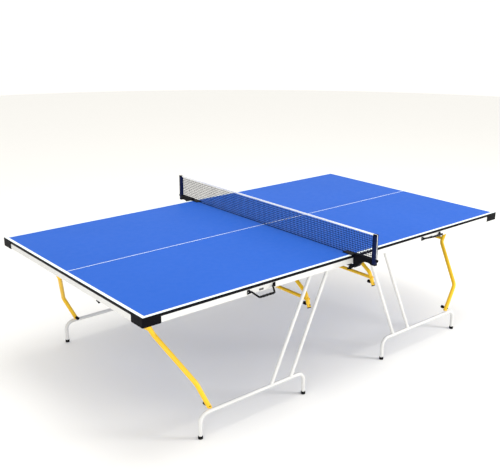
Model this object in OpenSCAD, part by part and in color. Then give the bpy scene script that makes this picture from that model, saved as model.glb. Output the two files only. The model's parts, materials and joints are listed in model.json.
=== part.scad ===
// Folding table tennis table: two half tables stand end to end under one net.
// Each half folds along its long centre seam into a flat case with carrying handles.
// Millimetres, +X along the table, +Y across it, +Z up, origin on the floor at the centre.

/* [Playing surface] */
// Length of the whole playing surface
table_l = 2740; // [2700:10:2760]
// Width of the playing surface
table_w = 1525; // [1520:1:1530]
// Height of the playing surface above the floor
table_h = 760; // [745:1:762]
// Thickness of each board
board_t = 15; // [12:1:16]
// Thickness of the black edge trim
trim_t = 2; // [1.5:0.5:3]
// Gap between the two half tables, on each side of the net line
half_gap = 1; // [0.5:0.5:2]
// Gap between the two boards of a half, on each side of the seam
seam_gap = 0.5; // [0.3:0.1:1]

/* [Rails] */
// Height of the rails under the outer, end and net edges
rail_h = 30; // [28:1:32]
// Thickness of those rails
rail_t = 20; // [16:1:22]
// Height of the low rails along the seam
seam_rail_h = 15; // [12:1:15]
// Thickness of the low rails along the seam
seam_rail_t = 15; // [12:1:18]
// Sheet thickness of the rails
rail_wall = 1.2; // [1:0.1:1.6]
// Length of each arm of a corner guard
guard_arm = 96; // [80:1:110]
// Thickness of a corner guard
guard_t = 2.5; // [2:0.5:4]

/* [White legs] */
// Distance from the long edge to the pivot tube
leg_inset = 40; // [38:1:44]
// Radius of the pivot tube and of the two slanting tubes
brace_r = 10; // [9:0.5:10]
// Radius of the foot tube
foot_r = 11; // [10:0.5:11]
// Height of the foot tube above the floor
foot_z = 135; // [130:1:140]
// Distance from the net line to the first foot
foot_near_x = 331; // [325:1:340]
// Distance from the net line to the second foot
foot_far_x = 1040; // [1035:1:1042]
// Wall thickness of the tubes
tube_wall = 1.5; // [1.2:0.1:2]

/* [Yellow frames] */
// Distance from the net line to the pivot of the middle frame
mid_x = 256; // [250:1:260]
// Angle through which the middle frame folds
mid_fold = 92; // [90:0.5:92]
// Distance from the net line to the pivot of the end frame
end_x = 1250; // [1245:1:1252]
// Angle through which the end frame folds
end_fold = 64; // [63:0.5:65]
// Radius of the middle frame's leg tubes and of both pivot tubes
frame_r = 11; // [10:0.5:11]
// Radius of the cross tube of each frame
cross_r = 10; // [9:0.5:10]
// Radius of the end frame's leg tube
end_leg_r = 12.5; // [12:0.5:12.5]
// Bend radius of the yellow tubes
frame_bend = 45; // [40:1:50]

/* [Net] */
// Height of the net above the playing surface
net_h = 152.5; // [150:0.5:155]
// Distance from the centre to the middle of a net post
post_y = 905; // [900:1:910]
// Side of the square net post
post_w = 20; // [18:1:22]

/* [Handles] */
// Distance from the net line to the middle of a handle
handle_x = 680; // [670:1:690]
// Angle of a handle outwards from hanging straight down
handle_out = 60; // [40:1:70]
// Swing of the right near handle, which stands lifted [degrees]
handle_raised = 110; // [0:5:120]
// Radius of the handle's wire
handle_r = 5; // [4:0.5:6]

/* [Hidden] */
$fn = 48;

blue = [0.10, 0.30, 0.75];
white = [0.92, 0.92, 0.90];
yellow = [0.95, 0.72, 0.10];
black = [0.06, 0.06, 0.07];
navy = [0.08, 0.11, 0.22];
silver = [0.70, 0.71, 0.72];

// Levels and outlines
half_l = table_l / 2;
half_w = table_w / 2;
board_z = table_h - board_t;
rail_z = board_z - rail_h;
seam_rail_z = board_z - seam_rail_h;
pivot_z = rail_z + 1;
fold_axis_z = pivot_z - 12.5;
far_out = 2000;
fit = 0.05;
weld_gap = 0.05;
elbow_lap = 0.5;
elbow_swell = 0.1;

// White legs, in the plane of the leg
leg_y = half_w - leg_inset;
pivot_tube_x = [136, 371];
brace_top_x = [164, 295];
brace_foot_x = [431, 572];
foot_bend = 50;
cap_r = 13;
cap_h = 18;
cap_floor = 8;

// Middle frame outline, folded flat, for one side of the seam
seam_end_y = 12;
mid_bend_y = half_w - 340;
mid_knee = [mid_x - 150, half_w - 112];
mid_end = [mid_x - 224, half_w - 79];
mid_cross_x = mid_x - 181;
mid_leg_path = [[mid_x, seam_end_y], [mid_x, mid_bend_y], mid_knee, mid_end];
mid_pin_x = mid_x - 210;
mid_pin_y = mid_knee[1] + (mid_end[1] - mid_knee[1]) * (mid_knee[0] - mid_pin_x) / (mid_knee[0] - mid_end[0]);

// End frame outline, folded flat, for one side of the seam
end_leg_y = half_w - 257;
end_toe_y = half_w - 52;
end_cross_x = end_x - 180;
end_pivot_end_y = half_w - 104;
end_leg_path = [[end_x - 3, end_leg_y], [end_x - 205, end_leg_y], [end_x - 455, end_toe_y], [end_x - 660, end_toe_y]];
end_pin_x = end_x - 618;
toe_gap = 1;
toe_z = foot_z + foot_r + toe_gap;

// Struts, saddles and lock pins
strut_y = half_w - 690;
strut_w = 16;
strut_t = 2.5;
mid_saddle_y = [half_w - 367, half_w - 713];
end_saddle_y = [half_w - 196, half_w - 716];
saddle_w = 22;
pin_r = 3.5;
pin_hole_r = pin_r + fit;
pin_knob_r = 10;
pin_knob_l = 14;
ferrule_r = 7.5;
ferrule_l = 8;
pin_tip = 2;

// Seam hinges
hinge_x = [41.5, 600, 942, 1307];
hinge_half_l = 20;
hinge_pin_r = 3;
hinge_barrel_r = 6.5;

// Handle outline, hanging straight down from its pivots
handle_y = half_w + 7;
handle_z = pivot_z + 16;
lug_r = 6.9;
handle_path = [[-84, 0], [-70, 0], [-50, -44], [50, -44], [70, 0], [84, 0]];

// Net clamp
clamp_w = 24;
clamp_jaw_z = rail_z - 25;
clamp_screw_y = half_w - 30.5;
clamp_arm_top = table_h + 11;
screw_r = 4;
net_top = table_h + net_h;
post_top = net_top - 3.5;
post_chamfer = 3;
tape_h = 10;
knob_z = table_h + 5;
tension_shaft_r = 3;

// ---------- placing ----------

module in_half(sx) {
    if (sx < 0) mirror([1, 0, 0]) children();
    else children();
}

module in_side(sy) {
    if (sy < 0) mirror([0, 1, 0]) children();
    else children();
}

module quadrant(sx, sy) in_half(sx) in_side(sy) children();

module all_quadrants() for (sx = [-1, 1], sy = [-1, 1]) quadrant(sx, sy) children();

module both_sides() for (sy = [-1, 1]) in_side(sy) children();

// Turns a frame that is drawn flat at z = 0 down about its pivot
module deployed(pivot_x, angle)
    translate([pivot_x, 0, pivot_z]) rotate([0, -angle, 0]) translate([-pivot_x, 0, 0]) children();

// ---------- rods and tubes ----------

// Straight rod between two points
module rod(p, q, r) {
    d = q - p;
    translate(p) rotate([0, acos(d[2] / norm(d)), atan2(d[1], d[0])]) cylinder(r = r, h = norm(d));
}

// Straight tube between two points, open at both ends
module straight_tube(p, q, r, wall) {
    d = (q - p) / norm(q - p);
    difference() {
        rod(p, q, r);
        rod(p - d, q + d, r - wall);
    }
}

function heading(path, i) = atan2(path[i + 1][1] - path[i][1], path[i + 1][0] - path[i][0]);
function wrapped(a) = a > 180 ? a - 360 : (a <= -180 ? a + 360 : a);
function turn(path, i) = wrapped(heading(path, i) - heading(path, i - 1));
function setback(path, i, bend) =
    (i == 0 || i == len(path) - 1) ? 0 : bend * tan(abs(turn(path, i)) / 2);
function stretched(path, more) = [
    for (i = [0 : len(path) - 1])
        i == 0 ? path[0] + more * (path[0] - path[1]) / norm(path[0] - path[1])
        : i == len(path) - 1 ? path[i] + more * (path[i] - path[i - 1]) / norm(path[i] - path[i - 1])
        : path[i]
];

// Rod that follows a path in the XY plane; its round elbows are a touch thicker than the straights
module bent_rod(path, r, bend) {
    last = len(path) - 1;
    for (i = [0 : last - 1]) {
        a = heading(path, i);
        from = setback(path, i, bend) - (i == 0 ? 0 : elbow_lap);
        to = setback(path, i + 1, bend) - (i + 1 == last ? 0 : elbow_lap);
        translate([path[i][0] + from * cos(a), path[i][1] + from * sin(a), 0])
            rotate([0, 90, a]) cylinder(r = r, h = norm(path[i + 1] - path[i]) - from - to);
    }
    for (i = [1 : last - 1]) {
        a = heading(path, i - 1);
        t = turn(path, i);
        side = t > 0 ? 1 : -1;
        back = setback(path, i, bend);
        centre = path[i] - back * [cos(a), sin(a)] + side * bend * [-sin(a), cos(a)];
        translate([centre[0], centre[1], 0])
            rotate([0, 0, t > 0 ? a - 90 : a + 90 + t])
                rotate_extrude(angle = abs(t)) translate([bend, 0]) circle(r = r + elbow_swell);
    }
}

module bent_tube(path, r, wall, bend) difference() {
    bent_rod(path, r, bend);
    bent_rod(stretched(path, 1), r - wall, bend);
}

// ---------- playing surface ----------

module board(sx, sy) color(blue) quadrant(sx, sy)
    translate([half_gap + trim_t, seam_gap, board_z])
        cube([half_l - half_gap - 2 * trim_t, half_w - seam_gap - trim_t, board_t]);

// Trim strip along the net, end and long edges of each board
module edge_trims() color(black) all_quadrants() difference() {
    translate([half_gap, seam_gap, board_z]) cube([half_l - half_gap, half_w - seam_gap, board_t]);
    translate([half_gap + trim_t, -1, board_z - 1])
        cube([half_l - half_gap - 2 * trim_t, half_w - trim_t + 1, board_t + 2]);
}

// ---------- rails ----------

// Box section along X or Y, open at both ends
module box_tube(at, size, along) difference() {
    translate(at) cube(size);
    translate(at + [for (i = [0 : 2]) i == along ? -1 : rail_wall])
        cube(size - [for (i = [0 : 2]) i == along ? -2 : 2 * rail_wall]);
}

module rails(sx, sy) color(white) quadrant(sx, sy) {
    long_l = half_l - half_gap;
    cross_w = half_w - rail_t - seam_gap;
    box_tube([half_gap, half_w - rail_t, rail_z], [long_l, rail_t, rail_h], 0);
    box_tube([half_gap, seam_gap, rail_z], [rail_t, cross_w, rail_h], 1);
    box_tube([half_l - rail_t, seam_gap, rail_z], [rail_t, cross_w, rail_h], 1);
    box_tube([half_gap + rail_t, seam_gap, seam_rail_z],
             [long_l - 2 * rail_t, seam_rail_t, seam_rail_h], 0);
}

// Plastic guard around each outer corner, with a lip under the rails
module corner_guards() color(black) all_quadrants() {
    lip = 14;
    difference() {
        translate([half_l - guard_arm, half_w - guard_arm, rail_z - guard_t])
            cube([guard_arm + guard_t, guard_arm + guard_t, table_h - 1 - rail_z + guard_t]);
        translate([half_l - far_out, half_w - far_out, rail_z]) cube([far_out, far_out, far_out]);
        translate([half_l - lip - far_out, half_w - lip - far_out, 0]) cube([far_out, far_out, far_out]);
        translate([half_l + guard_t, half_w + guard_t, rail_z - 2 * guard_t]) rotate([0, 0, 180])
            difference() {
                translate([-1, -1, 0]) cube([7, 7, 80]);
                translate([6, 6, -1]) cylinder(r = 6, h = 82);
            }
    }
}

// ---------- seam hinges ----------

// One leaf on the far side of the seam, with barrels over the given spans along X
module hinge_leaf(spans) difference() {
    union() {
        translate([-hinge_half_l, 2, fold_axis_z + 8.5])
            cube([2 * hinge_half_l, 22, seam_rail_z - fold_axis_z - 8.5]);
        for (s = spans) {
            translate([s[0], 0, fold_axis_z]) rotate([0, 90, 0]) cylinder(r = hinge_barrel_r, h = s[1] - s[0]);
            translate([s[0], 0, fold_axis_z - hinge_barrel_r])
                cube([s[1] - s[0], 12, 2 * hinge_barrel_r + 3]);
        }
    }
    translate([-far_out / 2, 0, fold_axis_z]) rotate([0, 90, 0])
        cylinder(r = hinge_pin_r + fit, h = far_out);
    for (s = spans)
        translate([s[0] - 1, -hinge_barrel_r - 1, fold_axis_z + hinge_barrel_r])
            cube([s[1] - s[0] + 2, hinge_barrel_r + 3, 4]);
}

module seam_hinge_leaves() color(black) for (sx = [-1, 1], x = hinge_x) in_half(sx) translate([x, 0, 0]) {
    hinge_leaf([[-7, 7]]);
    in_side(-1) hinge_leaf([[-hinge_half_l, -7.4], [7.4, hinge_half_l]]);
}

module seam_hinge_pins() color(silver) for (sx = [-1, 1], x = hinge_x) in_half(sx)
    translate([x - hinge_half_l - 1.5, 0, fold_axis_z]) rotate([0, 90, 0])
        cylinder(r = hinge_pin_r, h = 2 * hinge_half_l + 3);

// ---------- fittings under the boards ----------

// Block with a bore that carries one end of a white leg's pivot tube
module leg_bracket(x) difference() {
    union() {
        translate([x, leg_y - 17, pivot_z]) cube([15, half_w - rail_t - leg_y + 17, board_z - pivot_z]);
        translate([x, leg_y, pivot_z]) rotate([0, 90, 0]) cylinder(r = 17, h = 15);
    }
    translate([x - 1, leg_y, pivot_z]) rotate([0, 90, 0]) cylinder(r = brace_r + fit, h = 17);
}

module leg_brackets() color(black) all_quadrants() {
    leg_bracket(pivot_tube_x[0] - 5);
    leg_bracket(pivot_tube_x[1] - 10);
}

// Saddle clamp that carries a yellow frame's pivot tube
module saddle(x, y) difference() {
    union() {
        translate([x, y - saddle_w / 2, pivot_z]) rotate([-90, 0, 0]) cylinder(r = 16, h = saddle_w);
        translate([x - 16, y - saddle_w / 2, pivot_z]) cube([32, saddle_w, board_z - pivot_z]);
        translate([x - 30, y - saddle_w / 2, board_z - 4]) cube([60, saddle_w, 4]);
    }
    translate([x, y - saddle_w, pivot_z]) rotate([-90, 0, 0]) cylinder(r = frame_r + fit, h = 2 * saddle_w);
}

module frame_saddles() color(black) all_quadrants() {
    for (y = mid_saddle_y) saddle(mid_x, y);
    for (y = end_saddle_y) saddle(end_x, y);
}

// Open clip that takes the folded leg's foot tube from below
module leg_clips() color(black) all_quadrants() {
    clip_x = 682;
    clip_w = 20;
    arm_t = 4;
    slot_r = foot_r + 0.6;
    folded_y = leg_y - (pivot_z - foot_z);
    difference() {
        translate([clip_x - clip_w / 2, folded_y - slot_r - arm_t, pivot_z - 6])
            cube([clip_w, 2 * (slot_r + arm_t), board_z - pivot_z + 6]);
        translate([clip_x - clip_w, folded_y, pivot_z]) rotate([0, 90, 0])
            cylinder(r = slot_r, h = 2 * clip_w);
        translate([clip_x - clip_w, folded_y - slot_r, pivot_z - 40]) cube([2 * clip_w, 2 * slot_r, 40]);
    }
}

// ---------- white legs ----------

module white_leg(sx, sy) color(white) quadrant(sx, sy) translate([0, leg_y, 0]) {
    foot_path = [[foot_near_x, cap_floor], [foot_near_x, foot_z], [foot_far_x, foot_z], [foot_far_x, cap_floor]];
    pivot_from = [pivot_tube_x[0], 0, pivot_z];
    pivot_to = [pivot_tube_x[1], 0, pivot_z];
    straight_tube(pivot_from, pivot_to, brace_r, tube_wall);
    rotate([90, 0, 0]) bent_tube(foot_path, foot_r, tube_wall, foot_bend);
    for (i = [0, 1]) difference() {
        straight_tube([brace_top_x[i], 0, pivot_z], [brace_foot_x[i], 0, foot_z], brace_r, tube_wall);
        rod(pivot_from, pivot_to, brace_r + weld_gap);
        rod([foot_near_x + foot_bend, 0, foot_z], [foot_far_x - foot_bend, 0, foot_z], foot_r + weld_gap);
    }
}

// Rubber caps on the two feet of a leg
module feet(sx, sy) color(black) quadrant(sx, sy) for (x = [foot_near_x, foot_far_x])
    translate([x, leg_y, 0]) rotate_extrude() polygon([
        [0, 0], [cap_r - 2, 0], [cap_r, 2], [cap_r, cap_h - 1.5], [cap_r - 1, cap_h],
        [foot_r + fit, cap_h], [foot_r + fit, cap_floor], [0, cap_floor],
    ]);

// ---------- yellow frames ----------

// Half of a knuckle that joins the near and far tubes of a frame at the seam
module knuckle_half(x) difference() {
    axis_drop = pivot_z - fold_axis_z;
    barrel_r = 5;
    barrel_l = 9;
    union() {
        translate([x, seam_end_y, 0]) rotate([90, 0, 0]) cylinder(r = frame_r, h = seam_end_y - 3);
        translate([x + 0.3, 0, -axis_drop]) rotate([0, 90, 0]) cylinder(r = barrel_r, h = barrel_l);
        translate([x + 0.3, 0, -axis_drop - barrel_r]) cube([barrel_l, 9, 2 * barrel_r]);
        translate([x + 0.3, 3, -axis_drop]) cube([barrel_l, 6, axis_drop]);
    }
    translate([x - 20, 0, -axis_drop]) rotate([0, 90, 0]) cylinder(r = 2 + fit, h = 40);
}

module knuckle(x) {
    knuckle_half(x);
    translate([x, 0, 0]) rotate([0, 0, 180]) translate([-x, 0, 0]) knuckle_half(x);
    translate([x - 11, 0, fold_axis_z - pivot_z]) rotate([0, 90, 0]) cylinder(r = 2, h = 22);
}

// Collar on the inner side of a leg tube, which guides its lock pin
module ferrule(x, y, reach) difference() {
    translate([x, y, 0]) rotate([90, 0, 0]) cylinder(r = ferrule_r, h = reach + ferrule_l);
    translate([x, y + 1, 0]) rotate([90, 0, 0]) cylinder(r = pin_hole_r, h = reach + ferrule_l + 2);
    children();
}

// Spring lock pin: a shank through the leg tube and a round knob on the inner side
module lock_pin(x, y, reach, tip_y) {
    knob_y = y - reach - ferrule_l - 0.5;
    translate([x, tip_y, 0]) rotate([90, 0, 0]) cylinder(r = pin_r, h = tip_y - knob_y + pin_knob_l - 2);
    translate([x, knob_y, 0]) rotate([90, 0, 0]) difference() {
        cylinder(r = pin_knob_r, h = pin_knob_l);
        translate([0, 0, -1]) cylinder(r = pin_r, h = pin_knob_l - 1);
    }
}

// Flat strut between a frame's pivot tube and its cross tube
module strut(pivot_x, cross_x) difference() {
    translate([cross_x, strut_y - strut_w / 2, -strut_t / 2]) cube([pivot_x - cross_x, strut_w, strut_t]);
    rod([pivot_x, 0, 0], [pivot_x, half_w, 0], frame_r);
    rod([cross_x, 0, 0], [cross_x, half_w, 0], cross_r);
}

// Middle frame, which pins to the slanting tube of the white leg on each side
module mid_toe_rod(r) rod([mid_knee[0], mid_knee[1], 0], [mid_end[0], mid_end[1], 0], r);

module mid_tubes(sx) color(yellow) in_half(sx) both_sides() deployed(mid_x, mid_fold) {
    difference() {
        bent_tube(mid_leg_path, frame_r, tube_wall, frame_bend);
        translate([mid_pin_x, half_w, 0]) rotate([90, 0, 0]) cylinder(r = pin_hole_r, h = 200);
    }
    difference() {
        straight_tube([mid_cross_x, seam_end_y, 0], [mid_cross_x, mid_pin_y, 0], cross_r, tube_wall);
        mid_toe_rod(frame_r + weld_gap);
    }
}

module mid_fittings(sx) color(black) in_half(sx) {
    deployed(mid_x, mid_fold) for (x = [mid_x, mid_cross_x]) knuckle(x);
    both_sides() deployed(mid_x, mid_fold) {
        ferrule(mid_pin_x, mid_pin_y, 12) mid_toe_rod(frame_r);
        toe = mid_end - mid_knee;
        cap = 5 * toe / norm(toe);
        rod([mid_end[0], mid_end[1], 0], [mid_end[0] + cap[0], mid_end[1] + cap[1], 0], frame_r + 0.5);
    }
}

module mid_struts(sx) color(silver) in_half(sx) both_sides() deployed(mid_x, mid_fold)
    strut(mid_x, mid_cross_x);

module mid_pin(sx, sy) color(black) quadrant(sx, sy) deployed(mid_x, mid_fold)
    lock_pin(mid_pin_x, mid_pin_y, 12, mid_pin_y + 12 + pin_tip);

// End frame, which comes down onto the foot tube of the white leg on each side
module below_toe() translate([0, 0, toe_z - far_out]) cube([far_out, far_out, far_out]);

module end_toe_rod(r) rod([end_x - 660, end_toe_y, 0], [end_x - 500, end_toe_y, 0], r);

module end_tubes(sx) color(yellow) in_half(sx) both_sides() {
    difference() {
        deployed(end_x, end_fold) difference() {
            bent_tube(end_leg_path, end_leg_r, tube_wall, frame_bend);
            rod([end_x, 0, 0], [end_x, half_w, 0], frame_r + weld_gap);
            translate([end_pin_x, half_w, 0]) rotate([90, 0, 0]) cylinder(r = pin_hole_r, h = 100);
        }
        below_toe();
    }
    deployed(end_x, end_fold) {
        straight_tube([end_x, seam_end_y, 0], [end_x, end_pivot_end_y, 0], frame_r, tube_wall);
        difference() {
            straight_tube([end_cross_x, seam_end_y, 0], [end_cross_x, end_leg_y, 0], cross_r, tube_wall);
            rod([end_x - 200, end_leg_y, 0], [end_x, end_leg_y, 0], end_leg_r + weld_gap);
        }
    }
}

module end_fittings(sx) color(black) in_half(sx) {
    deployed(end_x, end_fold) for (x = [end_x, end_cross_x]) knuckle(x);
    both_sides() {
        deployed(end_x, end_fold) {
            ferrule(end_pin_x, end_toe_y, end_leg_r) end_toe_rod(end_leg_r);
            rod([end_x, end_pivot_end_y, 0], [end_x, end_pivot_end_y + 6, 0], frame_r + 1);
        }
        intersection() {
            deployed(end_x, end_fold) end_toe_rod(end_leg_r - tube_wall);
            translate([0, 0, toe_z]) cube([far_out, far_out, 6]);
        }
    }
}

module end_struts(sx) color(silver) in_half(sx) both_sides() deployed(end_x, end_fold)
    strut(end_x, end_cross_x);

module end_pin(sx, sy) color(black) quadrant(sx, sy) deployed(end_x, end_fold)
    lock_pin(end_pin_x, end_toe_y, end_leg_r, end_toe_y + end_leg_r + pin_tip);

// ---------- handles ----------

module handle(sx, sy) color(black) quadrant(sx, sy)
    translate([handle_x, handle_y, handle_z]) rotate([90 + (sx > 0 && sy < 0 ? handle_raised : handle_out), 0, 0]) {
        grip_half = 44;
        bent_rod(handle_path, handle_r, 8);
        difference() {
            rod([-grip_half, -44, 0], [grip_half, -44, 0], 7);
            rod([-grip_half - 1, -44, 0], [grip_half + 1, -44, 0], handle_r);
        }
    }

// Two lugs on the rail that carry a handle's ends
module handle_mounts() color(black) all_quadrants() for (side = [-1, 1])
    translate([handle_x, 0, handle_z]) in_half(side) translate([76, 0, 0]) difference() {
        union() {
            translate([0, half_w, -11]) cube([16, 3, 22]);
            translate([0, half_w, -lug_r]) cube([8, handle_y - half_w, 2 * lug_r]);
            translate([0, handle_y, 0]) rotate([0, 90, 0]) cylinder(r = lug_r, h = 8);
        }
        translate([-10, handle_y, 0]) rotate([0, 90, 0]) cylinder(r = handle_r + fit, h = 30);
    }

// Slotted plates that the strap of the folded case hooks into
module catch_plates() color(black) all_quadrants() translate([handle_x - 13, half_w, rail_z + 8]) difference() {
    cube([26, 2, 9]);
    translate([5, -1, 3]) cube([16, 4, 3]);
}

// ---------- net ----------

module net_mesh() color(navy) difference() {
    reach = post_y - post_w / 2 - 0.4;
    translate([-1, -reach, table_h + 5]) cube([2, 2 * reach, net_h - tape_h - 5]);
    both_sides() translate([-2, half_w - 1, table_h]) cube([4, post_y, clamp_arm_top - table_h + 0.5]);
}

module net_tape() color(white) translate([-1.6, -(post_y - post_w / 2 - 2), net_top - tape_h])
    cube([3.2, 2 * (post_y - post_w / 2 - 2), tape_h]);

// Tension cord, from the tape over each post and down its outer side
module net_cord() color(white) both_sides() {
    cord_r = 1.5;
    over = post_top + cord_r + 0.3;
    outer = post_y + post_w / 2 + cord_r + 0.3;
    rotate([90, 0, 90])
        bent_rod([[post_y - post_w / 2 - 2, over], [outer, over], [outer, knob_z + 7]], cord_r, 6);
}

module net_posts() color(navy) both_sides() difference() {
    translate([-post_w / 2, post_y, 0]) rotate([90, 0, 90]) linear_extrude(post_w) polygon([
        [-post_w / 2, table_h - 21], [post_w / 2, table_h - 21], [post_w / 2, post_top - post_chamfer],
        [post_w / 2 - post_chamfer, post_top], [-post_w / 2, post_top],
    ]);
    translate([0, post_y, knob_z]) rotate([-90, 0, 0]) cylinder(r = tension_shaft_r + fit, h = post_w);
}

// Clamp: jaws over and under the table's edge, and an arched arm out to the post
module net_clamps() color(black) both_sides() {
    back_y = half_w + 0.5;
    back_t = 12.5;
    jaw_t = 8;
    arm_end = post_y - post_w / 2;
    arch = [862, table_h - 88];
    arch_r = 72;
    translate([-22, half_w - 70, table_h]) cube([44, 70, 4]);
    difference() {
        translate([-clamp_w / 2, 0, 0]) rotate([90, 0, 90]) linear_extrude(clamp_w) difference() {
            union() {
                translate([half_w, table_h]) square([13, clamp_arm_top - table_h]);
                translate([back_y, clamp_jaw_z]) square([back_t, clamp_arm_top - clamp_jaw_z]);
                translate([clamp_screw_y - 16, clamp_jaw_z]) square([half_w - clamp_screw_y + 20, jaw_t]);
                translate([back_y, rail_z - 13]) square([arm_end - back_y, clamp_arm_top - rail_z + 13]);
            }
            translate(arch) circle(r = arch_r, $fn = 96);
        }
        translate([0, clamp_screw_y, clamp_jaw_z - 1]) cylinder(r = screw_r + fit, h = jaw_t + 2);
    }
}

module clamp_pad(sy) color(black) in_side(sy) translate([0, clamp_screw_y, rail_z - 4.3]) difference() {
    cylinder(r = 11, h = 4);
    translate([0, 0, -1]) cylinder(r = 2.5 + fit, h = 4);
}

// Screw with a nose that turns in the pad, and a knob with two wings
module clamp_screw(sy) color(black) in_side(sy) translate([0, clamp_screw_y, 0]) {
    knob_top = clamp_jaw_z - 8;
    translate([0, 0, knob_top - 10]) cylinder(r = screw_r, h = rail_z - 4.5 - knob_top + 10);
    translate([0, 0, rail_z - 4.5]) cylinder(r = 2.5, h = 2.8);
    difference() {
        union() {
            translate([0, 0, knob_top - 14]) cylinder(r = 9, h = 14);
            translate([-20, -3, knob_top - 13]) cube([40, 6, 10]);
        }
        translate([0, 0, knob_top - 10]) cylinder(r = screw_r, h = 20);
    }
}

module tension_knob(sy) color(black) in_side(sy) translate([0, post_y + post_w / 2 + 3.6, knob_z])
    rotate([-90, 0, 0]) {
        translate([0, 0, -13]) cylinder(r = tension_shaft_r, h = 13);
        cylinder(r = 8, h = 9);
    }

// ---------- one module per node ----------

module left_near_board() board(-1, -1);
module left_far_board() board(-1, 1);
module right_near_board() board(1, -1);
module right_far_board() board(1, 1);
module left_near_rails() rails(-1, -1);
module left_far_rails() rails(-1, 1);
module right_near_rails() rails(1, -1);
module right_far_rails() rails(1, 1);
module near_clamp_pad() clamp_pad(-1);
module far_clamp_pad() clamp_pad(1);
module near_clamp_screw() clamp_screw(-1);
module far_clamp_screw() clamp_screw(1);
module near_tension_knob() tension_knob(-1);
module far_tension_knob() tension_knob(1);
module left_mid_tubes() mid_tubes(-1);
module left_mid_fittings() mid_fittings(-1);
module left_mid_struts() mid_struts(-1);
module right_mid_tubes() mid_tubes(1);
module right_mid_fittings() mid_fittings(1);
module right_mid_struts() mid_struts(1);
module left_end_tubes() end_tubes(-1);
module left_end_fittings() end_fittings(-1);
module left_end_struts() end_struts(-1);
module right_end_tubes() end_tubes(1);
module right_end_fittings() end_fittings(1);
module right_end_struts() end_struts(1);
module left_near_leg() white_leg(-1, -1);
module left_far_leg() white_leg(-1, 1);
module right_near_leg() white_leg(1, -1);
module right_far_leg() white_leg(1, 1);
module left_near_feet() feet(-1, -1);
module left_far_feet() feet(-1, 1);
module right_near_feet() feet(1, -1);
module right_far_feet() feet(1, 1);
module left_near_handle() handle(-1, -1);
module left_far_handle() handle(-1, 1);
module right_near_handle() handle(1, -1);
module right_far_handle() handle(1, 1);
module left_near_mid_pin() mid_pin(-1, -1);
module left_far_mid_pin() mid_pin(-1, 1);
module right_near_mid_pin() mid_pin(1, -1);
module right_far_mid_pin() mid_pin(1, 1);
module left_near_end_pin() end_pin(-1, -1);
module left_far_end_pin() end_pin(-1, 1);
module right_near_end_pin() end_pin(1, -1);
module right_far_end_pin() end_pin(1, 1);

left_near_board();
left_far_board();
right_near_board();
right_far_board();
left_near_rails();
left_far_rails();
right_near_rails();
right_far_rails();
edge_trims();
corner_guards();
seam_hinge_leaves();
seam_hinge_pins();
leg_brackets();
frame_saddles();
leg_clips();
handle_mounts();
catch_plates();
net_mesh();
net_tape();
net_cord();
net_posts();
net_clamps();
near_clamp_pad();
far_clamp_pad();
near_clamp_screw();
far_clamp_screw();
near_tension_knob();
far_tension_knob();
left_mid_tubes();
left_mid_fittings();
left_mid_struts();
right_mid_tubes();
right_mid_fittings();
right_mid_struts();
left_end_tubes();
left_end_fittings();
left_end_struts();
right_end_tubes();
right_end_fittings();
right_end_struts();
left_near_leg();
left_far_leg();
right_near_leg();
right_far_leg();
left_near_feet();
left_far_feet();
right_near_feet();
right_far_feet();
left_near_handle();
left_far_handle();
right_near_handle();
right_far_handle();
left_near_mid_pin();
left_far_mid_pin();
right_near_mid_pin();
right_far_mid_pin();
left_near_end_pin();
left_far_end_pin();
right_near_end_pin();
right_far_end_pin();
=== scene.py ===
# Folding table tennis table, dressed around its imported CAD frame. Units are metres and degrees.

import json
import math
import random

import bmesh
import bpy
from mathutils import Matrix, Quaternion, Vector


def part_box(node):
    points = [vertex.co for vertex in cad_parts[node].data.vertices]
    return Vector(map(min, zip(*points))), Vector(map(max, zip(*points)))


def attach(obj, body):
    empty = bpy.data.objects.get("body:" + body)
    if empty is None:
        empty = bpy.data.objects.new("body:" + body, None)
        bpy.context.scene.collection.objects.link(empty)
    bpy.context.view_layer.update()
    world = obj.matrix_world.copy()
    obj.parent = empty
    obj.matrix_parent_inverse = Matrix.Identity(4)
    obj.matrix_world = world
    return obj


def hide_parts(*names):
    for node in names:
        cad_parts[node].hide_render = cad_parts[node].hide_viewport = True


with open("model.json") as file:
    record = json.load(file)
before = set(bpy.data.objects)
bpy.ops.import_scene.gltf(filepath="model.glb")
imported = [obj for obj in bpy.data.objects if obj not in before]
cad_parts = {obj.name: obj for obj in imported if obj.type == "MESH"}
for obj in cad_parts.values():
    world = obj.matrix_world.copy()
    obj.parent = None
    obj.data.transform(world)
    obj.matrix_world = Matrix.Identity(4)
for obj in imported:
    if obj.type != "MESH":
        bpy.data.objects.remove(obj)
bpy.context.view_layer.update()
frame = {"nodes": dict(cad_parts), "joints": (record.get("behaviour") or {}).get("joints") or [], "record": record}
NODES = frame["nodes"]
JOINTS = {joint["name"]: joint for joint in frame["joints"]}

SIGNS = {"left": -1, "right": 1, "near": -1, "far": 1}
HALVES = ("left", "right")
SIDES = ("near", "far")
QUADRANTS = [(half, side) for half in HALVES for side in SIDES]

UP = Vector((0, 0, 1))
DOWN = Vector((0, 0, -1))


# ---------- mesh tools ----------


def add_piece(name, bm, body, finish, sharp=35, merge=False):
    """Turns a bmesh into a smooth-shaded piece that rides on a body."""
    if merge:
        bmesh.ops.remove_doubles(bm, verts=bm.verts, dist=1e-6)
    bmesh.ops.recalc_face_normals(bm, faces=bm.faces)
    mesh = bpy.data.meshes.new(name)
    bm.to_mesh(mesh)
    bm.free()
    mesh.polygons.foreach_set("use_smooth", [True] * len(mesh.polygons))
    mesh.set_sharp_from_angle(angle=math.radians(sharp))
    mesh.materials.append(finish)
    obj = bpy.data.objects.new(name, mesh)
    bpy.context.scene.collection.objects.link(obj)
    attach(obj, body)
    return obj


def turned_to(axis):
    """Matrix that turns +Z to the given direction."""
    return UP.rotation_difference(Vector(axis)).to_matrix().to_4x4()


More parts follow.
